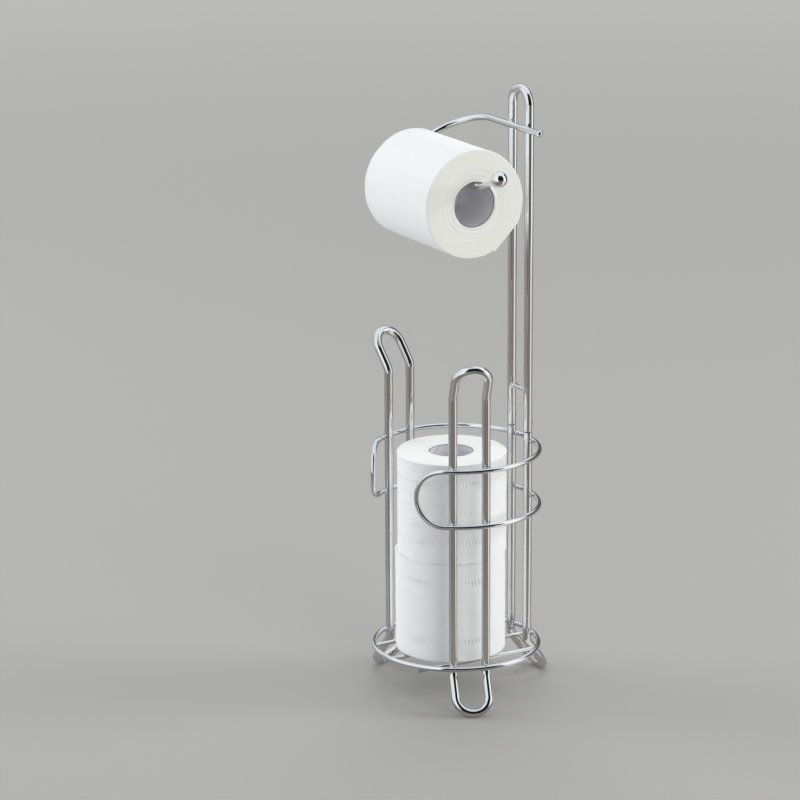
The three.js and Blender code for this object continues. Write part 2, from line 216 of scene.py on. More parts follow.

# The camera sees a plain matt floor. For glossy rays the floor glows with a painted reflection of the
# cards, the near ones in a warmer tint out to near_to, and the far ones from far_from on
floor_colour = (0.42, 0.414, 0.404, 1)
painted_near_reflection_tint = (1.0, 0.92, 0.84, 1)
floor_half_width = 20
underfoot, near_from, near_to, far_from = 0.28, 0.55, 1.35, 1.8
cards_share_underfoot, cards_share_beyond, floor_card_light = 0.62, 0.8, 1.1
floor_material, tree, floor_shader = new_material("pale_floor")
set_inputs(tree, floor_shader, {
    "Base Color": floor_colour, "Roughness": 0.6, "Specular IOR Level": 0.2})
floor_place = shader_node(tree, "ShaderNodeTexCoord").outputs["Object"]
floor_cards = shader_node(tree, "ShaderNodeGroup", {0: floor_place}, node_tree=cards)
distance = shader_node(
    tree, "ShaderNodeVectorMath", {0: floor_place}, operation="LENGTH").outputs["Value"]
far_share = range_node(tree, distance, near_to, far_from, interpolation="SMOOTHSTEP")
near_grey = shader_node(
    tree, "ShaderNodeMix", {0: 1.0, 6: floor_cards.outputs["Near Grey"], 7: painted_near_reflection_tint},
    data_type="RGBA", blend_type="MULTIPLY").outputs[2]
mirrored_floor = blend_node(tree, far_share, near_grey, floor_cards.outputs["Low Grey"])
painted_reflection_glow = shader_node(tree, "ShaderNodeEmission", {0: mirrored_floor, 1: floor_card_light})
floor_rays = shader_node(tree, "ShaderNodeLightPath")
cards_share = range_node(
    tree, distance, underfoot, near_from, cards_share_underfoot, cards_share_beyond, "SMOOTHSTEP")
metal_share = math_node(tree, "MULTIPLY", floor_rays.outputs["Is Glossy Ray"], cards_share)
both = shader_node(tree, "ShaderNodeMixShader", {
    0: metal_share, 1: floor_shader.outputs[0], 2: painted_reflection_glow.outputs[0]})

# Far off, the camera sees the floor run into the backdrop, as a paper sweep does
sweep_from, sweep_to = 1.2, 4.5
sweep_share = range_node(tree, distance, sweep_from, sweep_to, interpolation="SMOOTHSTEP")
seen_share = math_node(tree, "MULTIPLY", floor_rays.outputs["Is Camera Ray"], sweep_share)
sweep = shader_node(tree, "ShaderNodeEmission", {0: backdrop_colour})
swept_up = shader_node(tree, "ShaderNodeMixShader", {
    0: seen_share, 1: both.outputs[0], 2: sweep.outputs[0]})
tree.links.new(swept_up.outputs[0], tree.nodes["Material Output"].inputs[0])
floor_mesh = bpy.data.meshes.new("floor")
floor_corners = [
    (x * floor_half_width, y * floor_half_width, 0) for x, y in ((-1, -1), (1, -1), (1, 1), (-1, 1))]
floor_mesh.from_pydata(floor_corners, [], [(0, 1, 2, 3)])
floor_mesh.materials.append(floor_material)
floor = bpy.data.objects.new("floor", floor_mesh)
bpy.context.scene.collection.objects.link(floor)


# The post: one tall round-topped loop of 8.6 mm wire over two legs that run out into a round foot.
# Both are bent from drawn steel wire, polished and chrome plated. The halves meet at a seam.
def unit(vectors):
    """Vectors at length one, along the last axis."""
    return vectors / np.linalg.norm(vectors, axis=-1, keepdims=True)


bend_step, same_point, cut_rows = np.radians(3), 1e-6, 6


def bent_line(corners, bends, closed=False):
    """Points and directions of a wire's middle line. Each inner corner is rounded to its bend: the
    point at angle t of its arc is centre + outward * cos t + onward * sin t."""
    corners = np.asarray(corners, float)
    points, ways = [], []
    for i, (corner, bend) in enumerate(zip(corners, bends)):
        if not closed and i in (0, len(corners) - 1):
            near = min(i, len(corners) - 2)
            points.append(corner[None])
            ways.append(unit(corners[near + 1] - corners[near])[None])
            continue
        back = unit(corners[i - 1] - corner)
        ahead = unit(corners[(i + 1) % len(corners)] - corner)
        half = np.arccos(back @ ahead) / 2
        centre = corner + unit(back + ahead) * bend / np.sin(half)
        outward = corner + back * bend / np.tan(half) - centre
        onward = -back * bend
        sweep = np.pi - 2 * half
        t = np.linspace(0, sweep, max(2, round(sweep / bend_step) + 1))[:, None]
        points.append(centre + outward * np.cos(t) + onward * np.sin(t))
        ways.append(unit(onward * np.cos(t) - outward * np.sin(t)))
    points, ways = np.concatenate(points), np.concatenate(ways)
    apart = np.linalg.norm(points - np.roll(points, 1, axis=0), axis=1) > same_point
    return points[apart], ways[apart]


def cut_end(radius, edge):
    """A sawn wire end, as (reach past the end, radius). Its edge is a quarter turn, with reach
    edge * (sin t - 1) and radius - edge * (1 - cos t), and then the end is flat."""
    t = np.linspace(0, np.pi / 2, cut_rows)
    reach = np.append(edge * (np.sin(t) - 1), 0)
    return np.stack([reach, np.append(radius - edge * (1 - np.cos(t)), radius / 2)], axis=1)


def swept(line, radius, facing, sides=32, end=None):
    """Rings of a round wire. Point a of a ring is middle + radius * (cos a * side + sin a * other),
    where side is facing squared to the wire and other is way x side. An open wire has an end
    profile at both ends."""
    points, ways = line
    radii = np.full(len(points), radius)
    facing = np.broadcast_to(facing, points.shape)
    if end is not None:
        reach, end_radii = end.T
        first = points[0] - ways[0] * reach[::-1, None]
        last = points[-1] + ways[-1] * reach[:, None]
        points = np.concatenate([first, points[1:-1], last])
        radii = np.concatenate([end_radii[::-1], radii[1:-1], end_radii])
        pad = [(len(reach) - 1, len(reach) - 1), (0, 0)]
        ways = np.pad(ways, pad, mode="edge")
        facing = np.pad(facing, pad, mode="edge")
    side = unit(facing - ways * np.sum(facing * ways, axis=1, keepdims=True))
    other = np.cross(ways, side)
    a = np.linspace(0, 2 * np.pi, sides, endpoint=False)[None, :, None]
    spokes = np.cos(a) * side[:, None] + np.sin(a) * other[:, None]
    return points[:, None] + radii[:, None, None] * spokes


def mesh_piece(name, patches, material, masks=None):
    """One object of round patches. A patch is (rings, looped): rings[i, k] is point k of ring i, and
    the last ring joins the first if it is looped, or else a point closes each end. The UV map is
    the distance along and round the patch in metres. Masks are named values or vectors, one a
    point."""
    points, quads, fans, quad_uv, fan_uv = [], [], [], [], []
    start = 0
    for rings, looped in patches:
        count, sides = rings.shape[:2]
        i, k = np.meshgrid(np.arange(count if looped else count - 1), np.arange(sides), indexing="ij")
        next_i, next_k = (i + 1) % count, (k + 1) % sides
        quad = [i * sides + k, i * sides + next_k, next_i * sides + next_k, next_i * sides + k]
        quads.append(start + np.stack(quad, -1).reshape(-1, 4))
        spacing = np.linalg.norm(rings - np.roll(rings, 1, axis=0), axis=2).mean(axis=1)
        along = np.append(np.cumsum(spacing) - spacing[0], spacing.sum())
        width = np.linalg.norm(rings - np.roll(rings, 1, axis=1), axis=2).mean(axis=1).max()
        u, v = np.stack([i, i, i + 1, i + 1], -1), np.stack([k, k + 1, k + 1, k], -1)
        quad_uv.append(np.stack([along[u], v * width], -1).reshape(-1, 4, 2))
        points.append(rings.reshape(-1, 3))
        start += count * sides
        if looped:
            continue
        points.append(rings[[0, -1]].mean(axis=1))
        k = np.arange(sides)
        next_k = (k + 1) % sides
        first, last = start - count * sides, start - sides
        fans.append(np.stack([np.full(sides, start), first + next_k, first + k], -1))
        fans.append(np.stack([np.full(sides, start + 1), last + k, last + next_k], -1))
        fan_uv.append(np.zeros((2 * sides, 3, 2)) + [[0, 0], [0, width], [width, 0]])
        start += 2
    points, quads = np.concatenate(points), np.concatenate(quads)
    fans = np.concatenate(fans) if fans else np.zeros((0, 3), int)
    corners = np.concatenate([quads.ravel(), fans.ravel()])
    starts = np.concatenate([np.arange(len(quads)) * 4, quads.size + np.arange(len(fans)) * 3])
    uv = np.concatenate([a.reshape(-1, 2) for a in quad_uv + fan_uv])
    mesh = bpy.data.meshes.new(name)
    mesh.vertices.add(len(points))
    mesh.vertices.foreach_set("co", points.ravel())
    mesh.loops.add(len(corners))
    mesh.loops.foreach_set("vertex_index", corners)
    mesh.polygons.add(len(starts))
    mesh.polygons.foreach_set("loop_start", starts)
    mesh.update(calc_edges=True)
    mesh.validate()
    mesh.uv_layers.new(name="UVMap").data.foreach_set("uv", uv.ravel())
    for label, values in (masks or {}).items():
        kind, field = ("FLOAT_VECTOR", "vector") if values.ndim == 3 else ("FLOAT", "value")
        mesh.attributes.new(label, kind, "POINT").data.foreach_set(field, values.ravel())
    mesh.shade_smooth()
    mesh.materials.append(material)
    piece = bpy.data.objects.new(name, mesh)
    bpy.context.scene.collection.objects.link(piece)
    return piece


def noise_node(tree, place, scale, detail, roughness=0.5):
    """The grey of a noise, which changes scale times over each unit of the place."""
    inputs = {"Vector": place, "Scale": scale, "Detail": detail, "Roughness": roughness}
    return shader_node(tree, "ShaderNodeTexNoise", inputs).outputs[0]


def stretched_noise(tree, place, scales, detail):
    """The grey of a noise that has a scale of its own along each axis of the place."""
    stretched = shader_node(tree, "ShaderNodeMapping", {"Vector": place, "Scale": scales}).outputs[0]
    return noise_node(tree, stretched, 1.0, detail)


def bump_node(tree, height, depth, inputs=None):
    """The normal of a relief whose heights 0 and 1 lie depth apart."""
    inputs = {"Strength": 1.0, "Distance": depth, "Height": height, **(inputs or {})}
    return shader_node(tree, "ShaderNodeBump", inputs).outputs[0]


# Metal finish: patches of haze from handling, the faint lines that drawing leaves along a wire and,
# deeper than those, its small waves
haze_from, haze_to = 0.42, 0.68
lines_along_and_round = (12, 1400, 1)
waves_per_metre, waves_to_lines = 55.0, 8.0
metal, metal_in, metal_out = node_group(
    "handled_metal",
    [("Haze Size", "NodeSocketFloat"), ("Line Depth", "NodeSocketFloat")],
    [("Haze", "NodeSocketFloat"), ("Normal", "NodeSocketVector")])
coordinates = shader_node(metal, "ShaderNodeTexCoord")
haze_noise = noise_node(
    metal, coordinates.outputs["Object"], metal_in.outputs["Haze Size"], detail=5.0, roughness=0.6)
line_noise = stretched_noise(metal, coordinates.outputs["UV"], lines_along_and_round, detail=3.0)
wave_noise = noise_node(metal, coordinates.outputs["Object"], waves_per_metre, detail=1.0)
metal_relief = math_node(metal, "MULTIPLY_ADD", wave_noise, waves_to_lines, line_noise)
set_inputs(metal, metal_out, {
    "Haze": range_node(metal, haze_noise, haze_from, haze_to),
    "Normal": bump_node(metal, metal_relief, metal_in.outputs["Line Depth"])})


def metal_material(name, colour, worn_colour, roughness, worn_roughness, haze_size, line_depth):
    """Bare or plated metal whose colour and roughness follow the haze of handling."""
    material, tree, shader = new_material(name)
    finish = shader_node(
        tree, "ShaderNodeGroup", {"Haze Size": haze_size, "Line Depth": line_depth}, node_tree=metal)
    haze = finish.outputs["Haze"]
    set_inputs(tree, shader, {
        "Base Color": blend_node(tree, haze, colour, worn_colour), "Metallic": 1.0,
        "Roughness": range_node(tree, haze, 0.0, 1.0, roughness, worn_roughness),
        "Normal": finish.outputs["Normal"]})
    return material


chrome = metal_material(
    "polished_chrome", colour=(0.83, 0.845, 0.86, 1), worn_colour=(0.77, 0.78, 0.79, 1),
    roughness=0.02, worn_roughness=0.06, haze_size=22.0, line_depth=0.0000012)

touch_gap = 0.0003
wire_edge = 0.0007
pin_radius, socket_depth = 0.0025, 0.0203
upper_low, upper_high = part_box("upper_post")
lower_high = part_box("lower_post")[1]
post_wire = upper_high.y - upper_low.y
post_x, post_y = (upper_low.x + upper_high.x) / 2, (upper_low.y + upper_high.y) / 2
post_half = (upper_high.x - upper_low.x - post_wire) / 2
left_x, right_x = post_x - post_half, post_x + post_half
top_z = upper_high.z - post_wire / 2

# Each half ends in a round socket for the joining pin, a hair short of the seam, which shows it dark
seam_set_back = 0.0002
upper_foot_z, lower_top_z = upper_low.z + seam_set_back, lower_high.z - seam_set_back
socket_radius = pin_radius + touch_gap
socket = np.array([
    [0, socket_radius], [-socket_depth, socket_radius], [-socket_depth, socket_radius / 2]])
seam_end = np.concatenate([cut_end(post_wire / 2, wire_edge)[:-1], socket])
upper_corners = [
    (left_x, post_y, upper_foot_z), (left_x, post_y, top_z),
    (right_x, post_y, top_z), (right_x, post_y, upper_foot_z)]
upper_line = bent_line(upper_corners, (0, post_half, post_half, 0))
rings = swept(upper_line, post_wire / 2, (0, 1, 0), end=seam_end)
upper_post = mesh_piece("upper_post_wire", [(rings, False)], chrome)
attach(upper_post, "frame")
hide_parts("upper_post")

knee_bend, foot_flat, ankle_below_ring = 0.014, 0.00045, 0.007
ring_low, ring_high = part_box("base_ring")
store_x, store_y = (ring_low.x + ring_high.x) / 2, (ring_low.y + ring_high.y) / 2
ring_wire = ring_high.z - ring_low.z
store_radius = (ring_high.x - ring_low.x - ring_wire) / 2
ring_z = (ring_low.z + ring_high.z) / 2
ankle_z = ring_z - ankle_below_ring
foot_reach = lower_high.y - store_y - post_wire / 2


def foot_corners(plane, half, stock):
    """The four corners of a round foot, for a loop that faces +X from the store's middle."""
    tip_z = stock / 2 - foot_flat
    return [
        (plane, -half, ankle_z), (foot_reach, -half, tip_z),
        (foot_reach, half, tip_z), (plane, half, ankle_z)]


def placed(line, angle):
    """A line that faces +X from the store's middle, turned to its angle and set in its place."""
    points, ways = line
    turn = np.array([
        [np.cos(angle), np.sin(angle), 0], [-np.sin(angle), np.cos(angle), 0], [0, 0, 1]])
    return points @ turn + (store_x, store_y, 0), ways @ turn


def on_floor(rings):
    """The rings with what is under the floor pressed flat, which gives a foot its worn flat."""
    return np.concatenate([rings[..., :2], np.maximum(rings[..., 2:], 0)], axis=-1)


post_plane = post_y - store_y
lower_corners = [
    (post_plane, -post_half, lower_top_z), *foot_corners(post_plane, post_half, post_wire),
    (post_plane, post_half, lower_top_z)]
lower_line = bent_line(lower_corners, (0, knee_bend, post_half, post_half, knee_bend, 0))
lower_rings = on_floor(swept(placed(lower_line, np.pi / 2), post_wire / 2, (0, 1, 0), end=seam_end))
lower_post = mesh_piece("lower_post_wire", [(lower_rings, False)], chrome)
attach(lower_post, "frame")
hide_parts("lower_post")


# The joining pins: plain steel pins, half in each half of the post, which show only as a dark line in
# the seam. A small socketed grub screw behind each one locks the upper half.
fastener_steel = metal_material(
    "dark_fastener_steel", colour=(0.20, 0.205, 0.215, 1), worn_colour=(0.12, 0.12, 0.125, 1),
    roughness=0.28, worn_roughness=0.5, haze_size=400.0, line_depth=0.00001)
pin_edge = 0.0006
screw_sides, screw_edge = 48, 0.00025
key_flat_to_middle, key_depth = 0.00062, 0.0009


def turned(radii, reach, start, along, side, sides=48):
    """Rings of a round piece, with one radius and one reach for each ring or for each of its points.
    Point a of a ring is start + reach * along + radius * (cos a * side + sin a * other), where other
    is along x side."""
    radii, reach = (np.asarray(values, float).reshape(len(values), -1, 1) for values in (radii, reach))
    start, along, side = (np.asarray(vector, float) for vector in (start, along, side))
    a = np.linspace(0, 2 * np.pi, sides, endpoint=False)[:, None]
    spokes = np.cos(a) * side + np.sin(a) * np.cross(along, side)
    return start + reach * along + radii * spokes


for hand in ("left", "right"):
    low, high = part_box(f"joining_pin_{hand}")
    middle = (low + high) / 2
    pin_line = bent_line([(middle.x, middle.y, low.z), (middle.x, middle.y, high.z)], (0, 0))
    rings = swept(pin_line, pin_radius, (1, 0, 0), end=cut_end(pin_radius, pin_edge))
    pin = mesh_piece(f"joining_pin_{hand}_turned", [(rings, False)], fastener_steel)
    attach(pin, "frame")
    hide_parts(f"joining_pin_{hand}")

    # The screw's head is a ring round a six-sided socket: the socket's radius at an angle is that of
    # a hexagon, its flat distance over the cosine of the angle from the nearest flat's middle.
    low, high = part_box(f"lock_screw_{hand}")
    middle, screw_radius = (low + high) / 2, (high.x - low.x) / 2
    a = np.linspace(0, 2 * np.pi, screw_sides, endpoint=False)
    sixth = np.pi / 3
    hexagon = key_flat_to_middle / np.cos((a + sixth / 2) % sixth - sixth / 2)
    even = np.ones(screw_sides)
    head = [
        (low.y, screw_radius * even), (high.y - screw_edge, screw_radius * even),
        (high.y - screw_edge / 4, (screw_radius - screw_edge / 4) * even),
        (high.y, (screw_radius - screw_edge) * even), (high.y, hexagon + screw_edge / 3),
        (high.y - screw_edge / 3, hexagon), (high.y - key_depth, hexagon),
        (high.y - key_depth, hexagon / 2)]
    depths, radii = zip(*head)
    rings = turned(radii, depths, (middle.x, 0, middle.z), (0, 1, 0), (0, 0, 1), screw_sides)
    screw = mesh_piece(f"lock_screw_{hand}_socketed", [(rings, False)], fastener_steel)
    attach(screw, "frame")
    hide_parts(f"lock_screw_{hand}")


# The hoops: two closed loops of 8.5 mm wire, the same piece at both sides. Each leans out at the top,
# where a hand takes hold of it, and runs out into a round foot at the bottom.
hoop_wire, hoop_half = 0.0085, 0.016
hoop_bearing = np.radians(110)
shoulder_drop, hoop_past_ring = 0.0372, 0.0114
hoop_radius = store_radius - ring_wire / 2 - touch_gap - hoop_wire / 2
hoop_plane = np.sqrt(hoop_radius ** 2 - hoop_half ** 2)
hoop_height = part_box("left_hoop")[1].z
hoop_top_z = hoop_height - hoop_wire / 2
shoulder_z = hoop_height - shoulder_drop
hoop_reach = store_radius + hoop_past_ring
hoop_corners = [
    *foot_corners(hoop_plane, hoop_half, hoop_wire),
    (hoop_plane, hoop_half, shoulder_z), (hoop_reach, hoop_half, hoop_top_z),
    (hoop_reach, -hoop_half, hoop_top_z), (hoop_plane, -hoop_half, shoulder_z)]
loop_bends = (knee_bend, hoop_half, hoop_half, knee_bend)
hoop_line = bent_line(hoop_corners, loop_bends + loop_bends, closed=True)
hoop_angles = {"left": np.pi / 2 + hoop_bearing, "right": np.pi / 2 - hoop_bearing}
for hand, angle in hoop_angles.items():
    outward = (np.cos(angle), np.sin(angle), 0)
    rings = on_floor(swept(placed(hoop_line, angle), hoop_wire / 2, outward))
    hoop = mesh_piece(f"{hand}_hoop_wire", [(rings, True)], chrome)
    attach(hoop, "frame")
    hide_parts(f"{hand}_hoop")


# The base: a ring of thin wire round the hoops and the post, with three straight bars under it that
# the spare rolls stand on. Ring and bars are bare wire, welded at each crossing and then plated.
thin_wire_sides, ring_steps = 24, 240
circle = np.linspace(0, 2 * np.pi, ring_steps, endpoint=False)
around = np.stack([np.cos(circle), np.sin(circle), 0 * circle], axis=1)
along_ring = np.stack([-np.sin(circle), np.cos(circle), 0 * circle], axis=1)
store_middle = np.array([store_x, store_y, 0])
ring_line = store_middle + store_radius * around + (0, 0, ring_z), along_ring
rings = swept(ring_line, ring_wire / 2, (0, 0, 1), sides=thin_wire_sides)
base_ring = mesh_piece("base_ring_wire", [(rings, True)], chrome)
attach(base_ring, "frame")
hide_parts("base_ring")

bar_edge = 0.0004
bars = {}
for place in ("left", "middle", "right"):
    low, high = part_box(f"base_bar_{place}")
    middle, bar_radius = (low + high) / 2, (high.z - low.z) / 2
    bars[place] = middle
    bar_line = bent_line([(middle.x, low.y, middle.z), (middle.x, high.y, middle.z)], (0, 0))
    rings = swept(
        bar_line, bar_radius, (0, 0, 1), sides=thin_wire_sides, end=cut_end(bar_radius, bar_edge))
    bar = mesh_piece(f"base_bar_{place}_wire", [(rings, False)], chrome)
    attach(bar, "frame")
    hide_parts(f"base_bar_{place}")


# The store band: one long flat loop of thin wire with round ends, rolled round the hoops and the
# post. It leaves the front of the store open, so that a hand can lift the rolls.
band_low, band_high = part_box("store_band")
band_radius = ring_wire / 2
band_top, band_bottom = band_high.z - band_radius, band_low.z + band_radius
band_half = (band_top - band_bottom) / 2
band_opening = np.radians(64)
end_angle = band_half / store_radius
band_from = -np.pi / 2 + band_opening / 2 + end_angle
band_to = 3 * np.pi / 2 - band_opening / 2 - end_angle
run_steps, turn_steps = 200, 40
run = np.linspace(band_from, band_to, run_steps, endpoint=False)
half_turn = np.linspace(0, np.pi, turn_steps, endpoint=False)
band_angles = np.concatenate([
    run, band_to + end_angle * np.sin(half_turn),
    band_to + band_from - run, band_from - end_angle * np.sin(half_turn)])
band_heights = band_bottom + band_half * (1 + np.concatenate([
    np.ones(run_steps), np.cos(half_turn), -np.ones(run_steps), -np.cos(half_turn)]))
band_outward = np.stack([np.cos(band_angles), np.sin(band_angles), 0 * band_angles], axis=1)
band_points = store_middle + store_radius * band_outward
band_points[:, 2] = band_heights
band_ways = unit(np.roll(band_points, -1, axis=0) - np.roll(band_points, 1, axis=0))
rings = swept((band_points, band_ways), band_radius, band_outward, sides=thin_wire_sides)
store_band = mesh_piece("store_band_wire", [(rings, True)], chrome)
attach(store_band, "frame")
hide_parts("store_band")


# The welds: where two wires cross, a small collar of fused steel closes the gap between them, with
# hollow sides. It is plated with the rest, so it shines as the wires do.
weld_sides, weld_rows, buried_share, widest_share = 28, 9, 0.8, 0.98


def below_crown(direction, across, reach, radius):
    """How far a round wire's surface lies below its crown, at reach from the crown in a direction:
    radius - sqrt(radius^2 - off^2), where off is the reach across the wire, up to nearly its radius."""
    off = np.minimum(np.abs(direction @ across) * reach, widest_share * radius)
    return radius - np.sqrt(radius ** 2 - off ** 2)


def weld_collar(contact, normal, first_axis, first_radius, second_axis, second_radius, toe, neck):
    """A collar between two crossing wires, from inside the first to inside the second. In direction
    psi its radius falls from the toe to the neck and back, as toe - (toe - neck) * sin(pi t), while
    its height goes from the first wire's surface to the second's."""
    first_across, second_across = np.cross(normal, first_axis), np.cross(normal, second_axis)
    psi = np.linspace(0, 2 * np.pi, weld_sides, endpoint=False)[:, None]
    direction = np.cos(psi) * first_axis + np.sin(psi) * first_across
    t = np.linspace(0, 1, weld_rows)[:, None]
    reach = toe - (toe - neck) * np.sin(np.pi * t)
    low = -touch_gap / 2 - below_crown(direction, first_across, reach, first_radius)
    high = touch_gap / 2 + below_crown(direction, second_across, reach, second_radius)
    height = low + (high - low) * t
    rings = contact + reach[..., None] * direction + height[..., None] * normal
    buried_low = contact + toe / 2 * direction - normal * first_radius * buried_share
    buried_high = contact + toe / 2 * direction + normal * second_radius * buried_share
    return np.concatenate([buried_low[None], rings, buried_high[None]])


armward, barward, upward = np.eye(3)
thick_toe, thick_neck = 0.0023, 0.0013
uprights = [
    (angle + side * np.arcsin(hoop_half / hoop_radius), hoop_wire / 2)
    for angle in hoop_angles.values() for side in (-1, 1)]
post_turn = np.arctan2(post_half, post_plane)
uprights += [(np.pi / 2 + side * post_turn, post_wire / 2) for side in (-1, 1)]
ring_welds, band_welds = [], []
for angle, upright_radius in uprights:
    outward = np.array([np.cos(angle), np.sin(angle), 0.0])
    sideways = np.array([-np.sin(angle), np.cos(angle), 0.0])
    for z, welds in ((ring_z, ring_welds), (band_top, band_welds), (band_bottom, band_welds)):
        contact = store_middle + outward * (store_radius - ring_wire / 2 - touch_gap / 2) + upward * z
        rings = weld_collar(
            contact, outward, upward, upright_radius, sideways, ring_wire / 2, thick_toe, thick_neck)
        welds.append((rings, False))
thin_toe, thin_neck = 0.0019, 0.0011
bar_welds = []
for middle in bars.values():
    end_y = np.sqrt(store_radius ** 2 - (middle.x - store_x) ** 2)
    for side in (-1, 1):
        contact = np.array([
            middle.x, store_y + side * (end_y - thin_neck), ring_z - ring_wire / 2 - touch_gap / 2])
        ring_way = unit(np.array([side * end_y, -(middle.x - store_x), 0]))
        rings = weld_collar(
            contact, upward, barward, bar_radius, ring_way, ring_wire / 2, thin_toe, thin_neck)
        bar_welds.append((rings, False))
weld_sets = {"ring_welds": ring_welds, "band_welds": band_welds, "bar_welds": bar_welds}
for name, patches in weld_sets.items():
    weld = mesh_piece(name, patches, chrome)
    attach(weld, "frame")


# The brace: a short rod butted between the post's two wires above the seam, with a weld at each end.
brace_low, brace_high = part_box("post_brace")
brace_radius = (brace_high.z - brace_low.z) / 2
brace_y, brace_z = (brace_low.y + brace_high.y) / 2, (brace_low.z + brace_high.z) / 2
brace_line = bent_line([(brace_low.x, brace_y, brace_z), (brace_high.x, brace_y, brace_z)], (0, 0))
rings = swept(
    brace_line, brace_radius, (0, 0, 1), sides=weld_sides, end=cut_end(brace_radius, bar_edge))
brace = mesh_piece("post_brace_rod", [(rings, False)], chrome)
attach(brace, "frame")
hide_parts("post_brace")

# Each weld widens toward the post as brace_radius + brace_flare * t ** flare_power
brace_flare, flare_length, flare_depth, flare_power = 0.0011, 0.0016, 0.0017, 2.5
t = np.linspace(0, 1, weld_rows - 1)
flare_reach = np.concatenate([[0], flare_length * t, [flare_length + flare_depth]])
flare_radii = np.concatenate([
    [brace_radius / 2], brace_radius + brace_flare * t ** flare_power, [brace_radius + brace_flare]])
patches = []
for side, end_x in ((-1, brace_low.x), (1, brace_high.x)):
    start = (end_x - side * (flare_length - touch_gap), brace_y, brace_z)
    rings = turned(flare_radii, flare_reach, start, (side, 0, 0), (0, 1, 0), weld_sides)
    patches.append((rings, False))
brace_welds = mesh_piece("brace_welds", patches, chrome)
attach(brace_welds, "frame")


# The arm: one 6 mm wire welded across the front of the post. It turns back in a wide bend that also
# drops, carries the roll on its straight lower leg and then rises to the ball at its free end.
arm_low, arm_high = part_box("roll_arm")
arm_wire = 0.006
turn_bend, rise_bend, arm_rise = 0.041, 0.016, np.radians(22.5)
outer_y, inner_y = arm_high.y - arm_wire / 2, arm_low.y + arm_wire / 2
outer_z, inner_z = arm_high.z - arm_wire / 2, arm_low.z + arm_wire / 2
arm_left = arm_low.x + arm_wire / 2
ball_low, ball_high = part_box("arm_ball")
ball_centre = (ball_low + ball_high) / 2
ball_radius = (ball_high.x - ball_low.x) / 2
rise_start = ball_centre.x - (ball_centre.z - inner_z) / np.tan(arm_rise)
rise_way = np.array([np.cos(arm_rise), 0, np.sin(arm_rise)])
ball_bore = 0.005
cap_low, cap_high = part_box("arm_end_cap")
arm_end = ball_centre + Vector(rise_way) * (ball_bore - ball_radius - touch_gap)
arm_corners = [
    (cap_low.x - touch_gap, outer_y, outer_z), (arm_left, outer_y, outer_z),
    (arm_left, inner_y, inner_z), (rise_start, inner_y, inner_z), tuple(arm_end)]
arm_line = bent_line(arm_corners, (0, turn_bend, turn_bend, rise_bend, 0))
rings = swept(arm_line, arm_wire / 2, (0, 0, 1), end=cut_end(arm_wire / 2, bar_edge))
roll_arm = mesh_piece("roll_arm_wire", [(rings, False)], chrome)
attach(roll_arm, "frame")
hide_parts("roll_arm")

arm_toe, arm_neck = 0.0027, 0.0016
arm_welds = []
for x in (left_x, right_x):
    contact = np.array([x, post_y - post_wire / 2 - touch_gap / 2, outer_z])
    rings = weld_collar(
        contact, -barward, upward, post_wire / 2, armward, arm_wire / 2, arm_toe, arm_neck)
    arm_welds.append((rings, False))
welds = mesh_piece("arm_welds", arm_welds, chrome)
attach(welds, "frame")


# The ball: a solid turned steel ball, bored on one side and pressed on the arm's free end. A short
# rounded cap closes the arm's other end, beside the post.
bore_radius, mouth_round = arm_wire / 2 + touch_gap / 2, 0.0003
ball_rows, ball_sides, ball_pole_gap = 40, 64, 0.02
mouth = np.arcsin((bore_radius + mouth_round) / ball_radius)
t = np.linspace(mouth, np.pi - ball_pole_gap, ball_rows)
ball_profile = np.concatenate([
    [(bore_radius / 2, ball_bore - ball_radius), (bore_radius, ball_bore - ball_radius)],
    [(bore_radius, -ball_radius * np.cos(mouth) + mouth_round)],
    np.stack([ball_radius * np.sin(t), -ball_radius * np.cos(t)], axis=1)])
rings = turned(*ball_profile.T, ball_centre, rise_way, (0, 1, 0), ball_sides)
ball = mesh_piece("arm_ball_turned", [(rings, False)], chrome)
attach(ball, "frame")
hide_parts("arm_ball")

# The cap's crown is nine tenths of a half ball, behind a small groove where it meets the wire
cap_radius, cap_length = (cap_high.z - cap_low.z) / 2, cap_high.x - cap_low.x
groove_depth, groove_length, cap_edge = 0.0006, 0.0007, 0.0003
crown, cap_rows, cap_pole_gap = cap_radius * 0.9, 14, 0.03
t = np.linspace(0, np.pi / 2 - cap_pole_gap, cap_rows)
cap_profile = np.concatenate([
    [(cap_radius / 2, 0), (cap_radius - groove_depth, 0), (cap_radius - groove_depth, groove_length)],
    [(cap_radius - cap_edge, groove_length + cap_edge / 4), (cap_radius, groove_length + cap_edge)],
    np.stack([cap_radius * np.cos(t), cap_length - crown + crown * np.sin(t)], axis=1)])
rings = turned(*cap_profile.T, (cap_low.x, outer_y, outer_z), (1, 0, 0), (0, 0, 1))
cap = mesh_piece("arm_end_cap_turned", [(rings, False)], chrome)
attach(cap, "frame")
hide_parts("arm_end_cap")


# The rolls' cores: thin tubes of grey card, wound on a slant from one strip, so that a seam runs round
# inside them like a screw thread. The paper is wound straight on the card.
fibre, fibre_in, fibre_out = node_group(
    "paper_fibre",
    [("Fibre Size", "NodeSocketFloat"), ("Depth", "NodeSocketFloat")],
    [("Tone", "NodeSocketFloat"), ("Normal", "NodeSocketVector")])
crepe_along_and_round = (300, 1100, 1)
coordinates = shader_node(fibre, "ShaderNodeTexCoord")
felt = noise_node(
    fibre, coordinates.outputs["Object"], fibre_in.outputs["Fibre Size"], detail=6.0, roughness=0.65)
crepe = stretched_noise(fibre, coordinates.outputs["UV"], crepe_along_and_round, detail=2.0)
fibre_bump = bump_node(fibre, math_node(fibre, "ADD", felt, crepe), fibre_in.outputs["Depth"])
set_inputs(fibre, fibre_out, {"Tone": felt, "Normal": fibre_bump})


